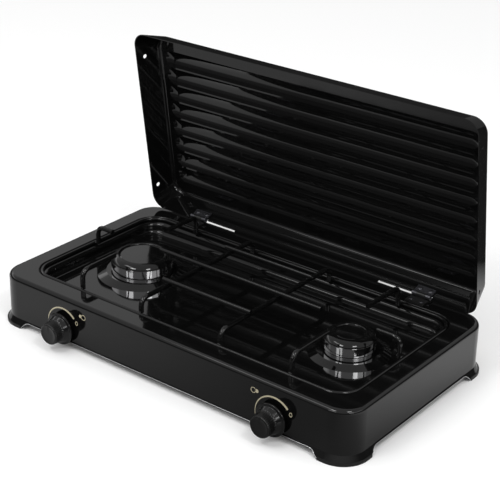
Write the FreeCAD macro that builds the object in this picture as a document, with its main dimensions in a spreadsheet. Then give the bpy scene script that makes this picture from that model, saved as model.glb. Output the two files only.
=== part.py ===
"""Two-burner gas cooktop with a hinged lid, built as separate pieces in one parametric document.

Millimetres. +Z is up, the front with the knobs looks along -Y, and the origin is on the floor
under the middle of the casing. The lid stands open, as it does in use.
"""
import FreeCAD, Part
import Sketcher
import math
import os

doc = FreeCAD.newDocument("Cooktop")
sheet = doc.addObject("Spreadsheet::Sheet", "Sizes")
pieces = []


class Term:
    """A number that also knows the sheet expression it comes from."""

    def __init__(self, number, text):
        self.number = float(number)
        self.text = text

    def __add__(self, other):
        other = term(other)
        return Term(self.number + other.number, "(%s + %s)" % (self.text, other.text))

    def __sub__(self, other):
        other = term(other)
        return Term(self.number - other.number, "(%s - %s)" % (self.text, other.text))

    def __mul__(self, other):
        other = term(other)
        return Term(self.number * other.number, "(%s * %s)" % (self.text, other.text))

    def __truediv__(self, other):
        other = term(other)
        return Term(self.number / other.number, "(%s / %s)" % (self.text, other.text))

    def __radd__(self, other):
        return term(other) + self

    def __rsub__(self, other):
        return term(other) - self

    def __rmul__(self, other):
        return term(other) * self

    def __neg__(self):
        return Term(-self.number, "(0 - %s)" % self.text)


def term(value):
    """Any number as a Term."""
    return value if isinstance(value, Term) else Term(value, repr(float(value)))


def root(value):
    """The square root of a Term."""
    return Term(math.sqrt(value.number), "sqrt(%s)" % value.text)


def angle_of(value):
    """The angle, in degrees, whose tangent is a Term."""
    return Term(math.degrees(math.atan(value.number)), "(atan(%s) / 1 deg)" % value.text)


def size(name, value):
    """Puts one driving size in the sheet and returns it as a Term."""
    cell = "A%d" % (size.row + 1)
    size.row += 1
    sheet.set(cell, str(value))
    sheet.setAlias(cell, name)
    return Term(value, "Sizes." + name)


size.row = 0


def bind(target, prop, value):
    """Binds a property of an object to a Term."""
    target.setExpression(prop, term(value).text)


# Driving sizes

# Casing: one deep-drawn, enamelled steel pressing on four drawn-down corner legs
width = size("width", 500)
depth = size("depth", 270)
top = size("casing_top", 62)
hem = size("skirt_bottom", 8)
sheet_metal = size("sheet_thickness", 1)
corner = size("corner_radius", 28)
edge = size("edge_radius", 5)
leg_reach = size("leg_reach", 48)
leg_step = size("leg_step", 16)
flare = size("leg_flare", 3.5)
flare_top = size("flare_top", 10)
lip_top = size("lip_top", 3.5)
lip_bottom = size("lip_bottom", 1)
shoe_wall = size("shoe_wall", 1.2)
shoe_height = size("shoe_height", 3.5)
shoe_trim = size("shoe_trim", 4)

# Well under the pan support, with a ledge for the wire ring
well_floor = size("well_floor", 44)
well_gap = size("well_gap", 7.5)
well_round = size("well_bottom_round", 6)
well_lip = size("well_lip_round", 5)
ledge_lip = size("ledge_lip_round", 1.5)
ring_x = width / 2 - size("ring_side_margin", 26)
ring_y = depth / 2 - size("ring_front_margin", 29)
ring_corner = size("ring_corner", 26)
wire = size("wire_radius", 2.3)
ledge_drop = size("ledge_drop", 4.3)
ledge_side = size("ledge_side_gap", 0.7)

# Pan support
finger_top = size("finger_height", 82.6)
finger_wire = size("finger_wire_radius", 3)
wire_bend = size("wire_bend", 9.5)
wire_end = size("wire_end_round", 0.6)
finger_x = width / 2 - size("finger_side_margin", 100.5)
finger_shift = size("finger_shift", 2.5)
bridge_x = size("bridge_offset", 57)
rod_y = ring_y - size("rod_margin", 49.5)
rod_x = bridge_x + size("rod_overhang", 6)
middle_rod_x = finger_x - size("middle_rod_margin", 33)

# Burners
burner_x = width / 2 - size("burner_side_margin", 99)
burner_shift = size("burner_shift", 4.5)
seat = size("burner_seat", 48.3)
flange = size("flange_thickness", 2.5)
flange_inset = size("flange_inset", 1.2)
crown_height = size("crown_height", 10.7)
port_height = size("port_height", 1)
port_width = size("port_width", 1.5)
port_relief = size("port_relief", 3)
cap_edge = size("cap_edge_thickness", 1)
cap_bevel = size("cap_bevel_radius", 12)
cap_rise = size("cap_rise", 5.2)
cup_bottom = size("cup_bottom", 35)
neck_length = size("neck_length", 3.5)
cup_wall = size("cup_wall", 1.6)
neck = size("neck_radius", 10)
spigot = size("spigot_length", 6)
loose = size("loose_fit", 0.4)
close = size("close_fit", 0.1)

# Gas train
knob_z = size("knob_height", 24)
rail_y = size("rail_setback", 28.5)
rail_z = size("rail_height", 37.5)
rail_r = size("rail_radius", 3.5)
rail_bore = size("rail_bore", 2.5)
gas_port = size("gas_port_radius", 1.2)
rail_bend = size("rail_bend", 20)
rail_end = size("rail_overhang", 20)
inlet_x = width / 2 - size("inlet_side_margin", 44)
inlet_r = size("inlet_radius", 6.5)
inlet_collar = size("inlet_collar_radius", 9)
inlet_socket = size("inlet_socket_depth", 12)
hose_r = size("hose_tail_radius", 5)
hose_length = size("hose_tail_length", 15)
nut_r = size("nut_corner_radius", 11)
nut_thick = size("nut_thickness", 5)
bracket_x = size("bracket_offset", 75)
bracket_wide = size("bracket_width", 12)
bracket_thick = size("bracket_thickness", 1.5)
tube_r = size("mixing_tube_radius", 8)
tube_bore = size("mixing_tube_bore", 7)
tube_bend = size("mixing_tube_bend", 11)
tube_top = size("mixing_tube_top", 38)
bell = size("bell_radius", 11)
bell_length = size("bell_length", 7)
air_gap = size("air_gap", 5)

# Valves, each on one axis that runs to the back from its knob
cover_front = size("cover_setback", 6.5)
cover_plate = size("cover_thickness", 2.5)
valve_r = size("valve_radius", 11)
chamber = size("chamber_radius", 7.5)
chamber_length = size("chamber_length", 12)
tail_r = size("valve_tail_radius", 8)
valve_length = size("valve_length", 36)
outlet = size("outlet_radius", 3)
spindle_r = size("spindle_radius", 4)
spindle_tail = size("spindle_tail_radius", 2.5)
tail_length = size("spindle_tail_length", 11.7)
spindle_hole = size("spindle_hole_radius", 6)
spring_in = size("spring_inner_radius", 4.2)
spring_out = size("spring_outer_radius", 6.2)
collar = size("collar_radius", 5.2)
collar_thick = size("collar_thickness", 2)
plug_length = size("plug_length", 11)
plug_taper = size("plug_taper", 0.6)
plug_socket = size("plug_socket_depth", 5)
ear_x = size("ear_half_width", 16)
ear_z = size("ear_half_height", 5.5)
ear_thick = size("ear_thickness", 5)
boss_x = size("boss_half_width", 7)
boss_rise = size("boss_rise", 18.5)
flat_cut = size("flat_cut", 1)
push = size("push_travel", 2.5)
screw_r = size("screw_radius", 1.5)
screw_head = size("screw_head_radius", 2.7)
screw_dome = size("screw_head_height", 1.6)
screw_x = size("screw_offset", 12)

# Knobs
knob_gap = size("knob_gap", 3)
knob_r = size("knob_radius", 19)
knob_skirt = size("knob_skirt_thickness", 4)
knob_length = size("knob_length", 21.5)
knob_bore = size("knob_bore_depth", 14)
grip_foot = size("grip_foot_radius", 16)
grip_r = size("grip_radius", 12.8)
grip_flat = size("grip_flat_depth", 1.1)
pointer = size("pointer_width", 2.4)

# Lid, measured closed, from the hinge axis
lid_x = width / 2 - size("lid_side_margin", 10.5)
lid_setback = size("lid_front_setback", 23)
lid_depth = size("lid_depth", 34.7)
lid_side_flare = size("lid_side_flare", 8.5)
lid_front_flare = size("lid_front_flare", 14)
lid_rear_flare = size("lid_rear_flare", 7.6)
lid_corner = size("lid_corner", 18)
lid_edge = size("lid_edge_radius", 6)
lid_gap = size("lid_gap", 1)
lid_open = size("lid_open_angle", 81.5)
rib_count = size("rib_count", 8)
rib_pitch = size("rib_pitch", 23.3)
rib_height = size("rib_height", 3)
rib_land = size("rib_land", 1.5)
rib_border = size("rib_side_border", 18)
side_hole = size("side_hole_radius", 2.7)
side_hole_front = size("side_hole_front", 36)
side_hole_front_rise = size("side_hole_front_rise", 12)
side_hole_rear = size("side_hole_rear", 28)
side_hole_rear_rise = size("side_hole_rear_rise", 9)

# Hinges
hinge_x = width / 2 - size("hinge_side_margin", 84)
hinge_inset = size("hinge_inset", 6)
hinge_z = size("hinge_rise", 4)
hinge_back = size("hinge_wall_offset", 1.5)
hinge_gap = size("hinge_gap", 0.3)
hinge_width = size("hinge_width", 24)
knuckle_r = size("knuckle_radius", 3)
knuckle_width = size("knuckle_width", 12)
pin_r = size("pin_radius", 1.5)
leaf = size("casing_leaf_thickness", 1.7)
leaf_length = size("casing_leaf_length", 17)
leaf_tail = size("casing_leaf_tail", 4)
lid_leaf = size("lid_leaf_thickness", 1.2)
lid_leaf_top = size("lid_leaf_top", 13)
rivet_x = size("rivet_spacing", 7)
rivet_r = size("rivet_radius", 1.5)
rivet_head = size("rivet_head_radius", 2.8)
rivet_dome = size("rivet_head_height", 1)
rivet_back = size("rivet_setback", 11)
rivet_rise = size("lid_rivet_rise", 8.3)
slit_width = size("slit_width", 46)
slit_height = size("slit_height", 5)
rivet_play = size("rivet_play", 0.35)


def burner_sizes(side, way, cap, crown, bowl, cone_top, cone_foot, bead, reach, ports):
    """The sizes in which the two burners differ."""
    named = {"cap": cap, "crown": crown, "bowl": bowl, "cone_top": cone_top, "cone_foot": cone_foot,
             "bead": bead, "reach": reach, "ports": ports}
    sizes = {key: size("%s_%s" % (side, key), value) for key, value in named.items()}
    sizes["x"] = burner_x * way + burner_shift
    sizes["finger_x"] = finger_x * way + finger_shift
    return sizes


burners = {"left": burner_sizes("left", -1, 36.9, 37.3, 26, 43, 54, 27.6, 47, 32),
           "right": burner_sizes("right", 1, 28.4, 28.7, 21, 37, 46, 17.3, 38, 26)}

doc.recompute()


# Sketch and feature helpers

NORMAL = {"XY_Plane": 1, "XZ_Plane": -1, "YZ_Plane": 1}


class Draft:
    """A sketch on one of its body's origin planes, with every size bound to the sheet."""

    def __init__(self, body, name, plane="XY_Plane", level=0, shift=(0, 0)):
        self.sketch = body.newObject("Sketcher::SketchObject", name)
        support = [f for f in body.Origin.OriginFeatures if f.Role == plane][0]
        self.sketch.AttachmentSupport = [(support, "")]
        self.sketch.MapMode = "FlatFace"
        for prop, value in (("x", shift[0]), ("y", shift[1]), ("z", term(level) * NORMAL[plane])):
            if term(value).number != 0:
                bind(self.sketch, "AttachmentOffset.Base." + prop, value)

    def datum(self, kind, where, value):
        value = term(value)
        index = self.sketch.addConstraint(Sketcher.Constraint(kind, *where, value.number))
        name = "size%d" % index
        self.sketch.renameConstraint(index, name)
        self.sketch.setExpression("Constraints." + name, value.text)

    def point(self, curve, end, x, y):
        self.datum("DistanceX", (-1, 1, curve, end), x)
        self.datum("DistanceY", (-1, 1, curve, end), y)

    def circle(self, x, y, radius):
        centre = FreeCAD.Vector(term(x).number, term(y).number, 0)
        curve = self.sketch.addGeometry(Part.Circle(centre, FreeCAD.Vector(0, 0, 1), term(radius).number))
        self.point(curve, 3, x, y)
        self.datum("Radius", (curve,), radius)
        return self

    def outline(self, points, closed=True):
        """Joins (x, y) points with lines, or with an arc where a point has a third value.

        The third value is the radius of the arc that arrives there, positive when it turns left.
        """
        count = len(points)
        pairs = range(count) if closed else range(1, count)
        made = {}
        for i in pairs:
            start, end = points[i - 1], points[i]
            a = FreeCAD.Vector(term(start[0]).number, term(start[1]).number, 0)
            b = FreeCAD.Vector(term(end[0]).number, term(end[1]).number, 0)
            if len(end) == 2:
                made[i] = (self.sketch.addGeometry(Part.LineSegment(a, b)), 1, 2)
                continue
            radius = term(end[2])
            turn = 1 if radius.number > 0 else -1
            reach = abs(radius.number)
            chord = b - a
            left = FreeCAD.Vector(-chord.y, chord.x, 0).normalize() * turn
            rise = math.sqrt(max(reach * reach - chord.Length ** 2 / 4, 0))
            middle = (a + b) * 0.5 + left * (rise - reach)
            arc = Part.Arc(a, middle, b)
            index = self.sketch.addGeometry(arc)
            made[i] = (index, 1, 2) if turn > 0 else (index, 2, 1)
            self.datum("Radius", (index,), radius if turn > 0 else -radius)
        for i in pairs:
            curve, first, last = made[i]
            self.point(curve, last, points[i][0], points[i][1])
            if i - 1 in made or closed:
                before = made[(i - 1) % count]
                self.sketch.addConstraint(Sketcher.Constraint("Coincident", before[0], before[2], curve, first))
            else:
                self.point(curve, first, points[i - 1][0], points[i - 1][1])
        return self

    def rounded(self, half_x, half_y, radius, middle_y=0):
        """A rectangle with round corners, about the sketch's own middle line."""
        up, down = middle_y + half_y, middle_y - half_y
        return self.outline([(half_x - radius, down), (half_x, down + radius, radius),
                             (half_x, up - radius), (half_x - radius, up, radius),
                             (radius - half_x, up), (-half_x, up - radius, radius),
                             (-half_x, down + radius), (radius - half_x, down, radius)])

    def box(self, x0, y0, x1, y1):
        return self.outline([(x0, y0), (x1, y0), (x1, y1), (x0, y1)])


def new_body(name):
    return doc.addObject("PartDesign::Body", name)


def finish(feature):
    doc.recompute()
    return feature


def volume(body):
    return body.Shape.Volume if body.Tip is not None and not body.Shape.isNull() else 0


def extrude(body, kind, draft, length, reverse=False, middle=False, taper=None):
    feature = body.newObject("PartDesign::" + kind, draft.sketch.Name + kind)
    feature.Profile = draft.sketch
    bind(feature, "Length", length)
    feature.Reversed = reverse
    feature.Midplane = middle
    if taper is not None:
        bind(feature, "TaperAngle", taper)
    return finish(feature)


def pad(body, draft, length, **how):
    return extrude(body, "Pad", draft, length, **how)


def pocket(body, draft, length, **how):
    before = volume(body)
    feature = extrude(body, "Pocket", draft, length, **how)
    if volume(body) > before - 1e-6:
        raise RuntimeError("%s cuts nothing" % feature.Name)
    return feature


def turn(body, draft, kind="Revolution", axis="V_Axis", angle=360, middle=False):
    before = volume(body)
    feature = body.newObject("PartDesign::" + kind, draft.sketch.Name + kind)
    feature.Profile = draft.sketch
    feature.ReferenceAxis = (draft.sketch, [axis])
    bind(feature, "Angle", angle)
    feature.Midplane = middle
    finish(feature)
    if kind == "Groove" and volume(body) > before - 1e-6:
        raise RuntimeError("%s cuts nothing" % feature.Name)
    return feature


def repeat(body, original, kind, axis, count, span):
    """A polar or linear pattern of one feature about or along an origin axis of the body."""
    pattern = body.newObject("PartDesign::" + kind, original.Name + "Pattern")
    pattern.Originals = [original]
    line = [f for f in body.Origin.OriginFeatures if f.Role == axis][0]
    if kind == "PolarPattern":
        pattern.Axis = (line, [""])
        bind(pattern, "Angle", span)
    else:
        pattern.Direction = (line, [""])
        bind(pattern, "Length", span)
    bind(pattern, "Occurrences", count)
    body.Tip = pattern
    return finish(pattern)


def round_edges(body, radius, chosen):
    """Rounds the edges of the body's tip that the chosen function picks."""
    tip = body.Tip
    names = ["Edge%d" % (i + 1) for i, e in enumerate(tip.Shape.Edges) if chosen(e)]
    feature = body.newObject("PartDesign::Fillet", tip.Name + "Round")
    feature.Base = (tip, names)
    bind(feature, "Radius", radius)
    return finish(feature)


def level_edges(z, inside=None):
    """Picks the edges that lie flat at one height, with a test on their box."""
    def chosen(e):
        b = e.BoundBox
        flat = abs(b.ZMin - z.number) < 1e-4 and abs(b.ZMax - z.number) < 1e-4
        return flat and (inside is None or inside(b))
    return chosen


def bent_wire(name, plane, level, path, start_plane, start_level, start, radii):
    """A round wire or tube along a planar path; radii holds its radius and any bore."""
    body = new_body(name + "_body")
    route = Draft(body, name + "_path", plane, level).outline(path, closed=False)
    ring = Draft(body, name + "_section", start_plane, start_level)
    for radius in radii:
        ring.circle(start[0], start[1], radius)
    pipe = body.newObject("PartDesign::AdditivePipe", name + "_pipe")
    pipe.Profile = ring.sketch
    pipe.Spine = (route.sketch, ["Edge%d" % (i + 1) for i in range(len(path) - 1)])
    finish(pipe)
    return body


def place(target, x=0, y=0, z=0):
    for axis, value in (("x", x), ("y", y), ("z", z)):
        if term(value).number != 0:
            bind(target, "Placement.Base." + axis, value)
    return target


def piece(name, target):
    """Names a finished piece; each one is written to a file of that name."""
    target.Label = name
    pieces.append((name, target))
    return target


# Casing

front, back = -depth / 2, depth / 2
ledge = top - ledge_drop
ledge_x, ledge_y = ring_x + wire + ledge_side, ring_y + wire + ledge_side
ledge_corner = ring_corner + wire + ledge_side
well_x, well_y = ring_x - well_gap, ring_y - well_gap
well_corner = ring_corner - well_gap
hinge_y = back - hinge_inset
hinge_axis_z = top + hinge_z
rivet_y = hinge_y - rivet_back


def make_casing():
    body = new_body("casing_body")
    half_x, half_y = width / 2, depth / 2
    slope = angle_of(flare / (flare_top - lip_top))

    pad(body, Draft(body, "skirt", level=flare_top).rounded(half_x, half_y, corner), top - flare_top)
    pad(body, Draft(body, "leg_flare", level=flare_top).rounded(half_x, half_y, corner),
        flare_top - lip_top, reverse=True, taper=slope)
    pad(body, Draft(body, "leg_lip", level=lip_top).rounded(half_x + flare, half_y + flare, corner + flare),
        lip_top - lip_bottom, reverse=True)

    # The hollow under the sheet follows the skirt, the flare and the well
    in_x, in_y, in_r = half_x - sheet_metal, half_y - sheet_metal, corner - sheet_metal
    pocket(body, Draft(body, "lip_hollow", level=lip_top).rounded(in_x + flare, in_y + flare, in_r + flare),
           lip_top - lip_bottom)
    pocket(body, Draft(body, "flare_hollow", level=flare_top).rounded(in_x, in_y, in_r),
           flare_top - lip_top, taper=slope)
    under_floor = well_floor - sheet_metal
    pocket(body, Draft(body, "skirt_hollow", level=under_floor).rounded(in_x, in_y, in_r),
           under_floor - flare_top)
    low = Draft(body, "well_side_hollow", level=ledge - sheet_metal).rounded(in_x, in_y, in_r)
    low.rounded(well_x + sheet_metal, well_y + sheet_metal, well_corner + sheet_metal)
    pocket(body, low, ledge - well_floor)
    high = Draft(body, "rim_hollow", level=top - sheet_metal).rounded(in_x, in_y, in_r)
    high.rounded(ledge_x + sheet_metal, ledge_y + sheet_metal, ledge_corner + sheet_metal)
    pocket(body, high, top - ledge)

    def outside_ledge(b):
        reach_x = max(abs(b.XMin), abs(b.XMax)) - ledge_x.number
        reach_y = max(abs(b.YMin), abs(b.YMax)) - ledge_y.number
        return max(reach_x, reach_y) > 2 * sheet_metal.number

    def beside_well(b):
        near_x = max(abs(b.XMin), abs(b.XMax)) < ledge_x.number - 1
        return near_x and max(abs(b.YMin), abs(b.YMax)) < ledge_y.number - 1

    round_edges(body, edge - sheet_metal, level_edges(top - sheet_metal, outside_ledge))
    round_edges(body, edge, level_edges(top))
    round_edges(body, well_lip - sheet_metal, level_edges(ledge - sheet_metal, beside_well))

    # The ledge and the well are sunk from above
    pocket(body, Draft(body, "ledge", level=top).rounded(ledge_x, ledge_y, ledge_corner), top - ledge)
    round_edges(body, ledge_lip, level_edges(top, lambda b: not outside_ledge(b)))
    pocket(body, Draft(body, "well", level=ledge).rounded(well_x, well_y, well_corner), ledge - well_floor)
    round_edges(body, well_round, level_edges(well_floor))
    round_edges(body, well_lip, level_edges(ledge, beside_well))

    # The skirt is cut away between the legs in one smooth step at each leg
    mid, high = leg_step / 2, hem / 2
    sweep = (leg_step * leg_step + hem * hem) / (hem * 4)
    for name, plane, half, reach in (("front_arch", "XZ_Plane", half_x, depth),
                                     ("side_arch", "YZ_Plane", half_y, width)):
        straight = half - leg_reach
        arch = Draft(body, name, plane).outline([
            (-straight - leg_step, -1), (straight + leg_step, -1), (straight + leg_step, 0),
            (straight + mid, high, -sweep), (straight, hem, sweep),
            (-straight, hem), (-straight - mid, high, sweep), (-straight - leg_step, 0, -sweep)])
        pocket(body, arch, reach + 4 * flare, middle=True)

    # Each burner stands on a low cone pressed up from the floor of the well
    for side, b in burners.items():
        opening = Draft(body, side + "_burner_hole", level=well_floor + 1).circle(b["x"], 0, b["cone_foot"])
        pocket(body, opening, sheet_metal + 3)
        tuck = sheet_metal / 2
        cone = Draft(body, side + "_cone", "XZ_Plane", 0, (b["x"], 0)).outline([
            (b["cone_foot"] + tuck, well_floor), (b["cone_foot"], well_floor), (b["cone_top"], seat),
            (b["bowl"] + loose, seat), (b["bowl"] + loose, seat - sheet_metal),
            (b["cone_top"], seat - sheet_metal), (b["cone_foot"], well_floor - sheet_metal),
            (b["cone_foot"] + tuck, well_floor - sheet_metal)])
        turn(body, cone)

    # Holes for the cup screws, the spindles, the gas inlet and the rivets of the hinges
    screws = Draft(body, "cup_screw_holes", level=seat)
    for b in burners.values():
        for way in (-1, 1):
            screws.circle(b["x"] + (b["bowl"] + b["crown"]) / 2 * way, 0, screw_r)
    pocket(body, screws, 2 * sheet_metal)
    holes = Draft(body, "spindle_holes", "XZ_Plane", front)
    for b in burners.values():
        holes.circle(b["x"], knob_z, spindle_hole)
    pocket(body, holes, 2 * sheet_metal)
    inlet = Draft(body, "inlet_hole", "XZ_Plane", back).circle(inlet_x, rail_z, inlet_r + loose)
    pocket(body, inlet, 2 * sheet_metal, reverse=True)
    rivets = Draft(body, "rivet_holes", level=top)
    for x in (-hinge_x, hinge_x):
        for step in (-rivet_x, rivet_x):
            rivets.circle(x + step, rivet_y, rivet_r)
    pocket(body, rivets, 2 * sheet_metal)
    return piece("casing", body)


make_casing()


def make_shoe(name, side_x, side_y):
    """A rubber shoe that grips the lower lip of one leg."""
    body = new_body(name + "_body")
    lip_x, lip_y = width / 2 + flare, depth / 2 + flare
    turn_x, turn_y = width / 2 - corner, depth / 2 - corner
    end_x = width / 2 - leg_reach + leg_step - shoe_trim
    end_y = depth / 2 - leg_reach + leg_step - shoe_trim
    radius = corner + flare

    def band(draft, out, into):
        way = side_x * side_y
        outer = [(end_x, lip_y + out), (turn_x, lip_y + out), (lip_x + out, turn_y, -(radius + out) * way),
                 (lip_x + out, end_y)]
        inner = [(lip_x - into, end_y), (lip_x - into, turn_y),
                 (turn_x, lip_y - into, (radius - into) * way), (end_x, lip_y - into)]
        return draft.outline([(x * side_x, y * side_y, *r) for x, y, *r in outer + inner])

    pad(body, band(Draft(body, name + "_band"), shoe_wall, sheet_metal + shoe_wall), shoe_height)
    pocket(body, band(Draft(body, name + "_groove", level=shoe_height), term(0), sheet_metal),
           shoe_height - lip_bottom)
    return piece(name, body)


for shoe, side_x, side_y in (("front_left_foot_shoe", -1, -1), ("front_right_foot_shoe", 1, -1),
                             ("rear_left_foot_shoe", -1, 1), ("rear_right_foot_shoe", 1, 1)):
    make_shoe(shoe, side_x, side_y)


# Burners

flange_top = seat + flange
band_low = flange_top + port_height
crown_top = band_low + crown_height


def make_burner(side, b):
    bowl_in = b["bowl"] - cup_wall
    bowl_floor = cup_bottom + neck_length
    neck_in = tube_r + close

    flange_r = b["crown"] - flange_inset
    cup = new_body(side + "_cup_body")
    turn(cup, Draft(cup, side + "_cup", "XZ_Plane").outline([
        (neck_in, cup_bottom), (neck, cup_bottom), (neck, bowl_floor), (b["bowl"], bowl_floor + cup_wall * 2),
        (b["bowl"], seat), (flange_r, seat), (flange_r, flange_top), (bowl_in, flange_top),
        (bowl_in, bowl_floor + cup_wall * 3), (neck_in, bowl_floor + cup_wall)]))
    tapped = Draft(cup, side + "_cup_tapped", level=seat)
    for way in (-1, 1):
        tapped.circle((b["bowl"] + b["crown"]) / 2 * way, 0, screw_r)
    pocket(cup, tapped, flange * 0.8, reverse=True)
    piece(side + "_burner_cup", place(cup, b["x"]))

    crown = new_body(side + "_crown_body")
    spigot_out = bowl_in - close
    spigot_in = spigot_out - cup_wall
    hollow = b["crown"] - cup_wall * 2
    relief = b["crown"] - port_relief
    turn(crown, Draft(crown, side + "_crown", "XZ_Plane").outline([
        (spigot_in, flange_top - spigot), (spigot_out, flange_top - spigot), (spigot_out, flange_top),
        (relief, flange_top), (relief, band_low), (b["crown"], band_low), (b["crown"], crown_top - 0.6),
        (b["crown"] - 0.6, crown_top), (hollow, crown_top), (hollow, band_low + 2), (spigot_in, band_low + 1.5)]))
    slot = Draft(crown, side + "_port", level=band_low).box(
        spigot_in - 1, -port_width / 2, relief + 1, port_width / 2)
    first = pocket(crown, slot, port_height)
    repeat(crown, first, "PolarPattern", "Z_Axis", b["ports"], 360)
    piece(side + "_burner_crown", place(crown, b["x"]))

    cap = new_body(side + "_cap_body")
    boss = hollow - loose
    shoulder = crown_top + cap_edge
    bead_top = shoulder + cap_rise
    turn(cap, Draft(cap, side + "_cap", "XZ_Plane").outline([
        (0, crown_top + 1), (boss - cup_wall, crown_top + 1), (boss - cup_wall, crown_top - 2.5),
        (boss, crown_top - 2.5), (boss, crown_top), (b["cap"], crown_top), (b["cap"], shoulder),
        (b["bead"] + 1.5, bead_top, cap_bevel), (b["bead"], bead_top - 1.5, 1.5), (b["bead"] - 0.8, bead_top - 1.8),
        (b["bead"] - 2, bead_top - 1.3), (0, bead_top - 1.1)]))
    piece(side + "_burner_cap", place(cap, b["x"]))


for side, b in burners.items():
    make_burner(side, b)


def make_studs(name, parts, spots, axis, base=0):
    """A group of like fasteners, each made of the same row of discs fused together.

    parts is a list of (start, length, radius) along the axis; spots are the two other coordinates.
    """
    group = []
    for i, spot in enumerate(spots):
        discs = []
        for j, (start, length, radius) in enumerate(parts):
            disc = doc.addObject("Part::Cylinder", "%s_%d_%d" % (name, i, j))
            bind(disc, "Radius", radius)
            bind(disc, "Height", length)
            if axis == "Y":
                disc.Placement.Rotation = FreeCAD.Rotation(FreeCAD.Vector(1, 0, 0), -90)
                place(disc, spot[0], base + start, spot[1])
            else:
                place(disc, spot[0], spot[1], base + start)
            discs.append(disc)
        stud = doc.addObject("Part::MultiFuse", "%s_%d" % (name, i))
        stud.Shapes = discs
        group.append(stud)
    compound = doc.addObject("Part::Compound", name + "_group")
    compound.Links = group
    doc.recompute()
    return compound


for side, b in burners.items():
    spot_r = (b["bowl"] + b["crown"]) / 2
    under = seat - sheet_metal
    cup_screws = make_studs(side + "_cup_screws",
                            [(-screw_dome, screw_dome, screw_head), (0, sheet_metal + flange * 0.8, screw_r)],
                            [(b["x"] - spot_r, 0), (b["x"] + spot_r, 0)], "Z", under)
    piece(side + "_cup_screws", cup_screws)


# Gas valves, turned on the knob's axis; y runs back from the front of the casing

def lathe(name, points, plane="XY_Plane", kind="Revolution", body=None, **where):
    """A body turned about the sketch's vertical axis from (radius, y) points."""
    body = body or new_body(name + "_body")
    turn(body, Draft(body, name + "_turned", plane, **where).outline(points), kind)
    return body


def hexagon(draft, radius):
    turns = [math.radians(60 * i) for i in range(6)]
    return draft.outline([(radius * math.cos(t), radius * math.sin(t)) for t in turns])


def flatted(draft, radius, flat):
    """A round shape with one flat on its upper side."""
    half = root(radius * radius - flat * flat)
    return draft.outline([(-half, flat), (term(0), -radius, radius), (half, flat, radius)])


chamber_y = cover_front + cover_plate
seat_y = chamber_y + chamber_length
seat_end = seat_y + plug_length
valve_end = chamber_y + valve_length
rail_rise = rail_z - knob_z


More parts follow.
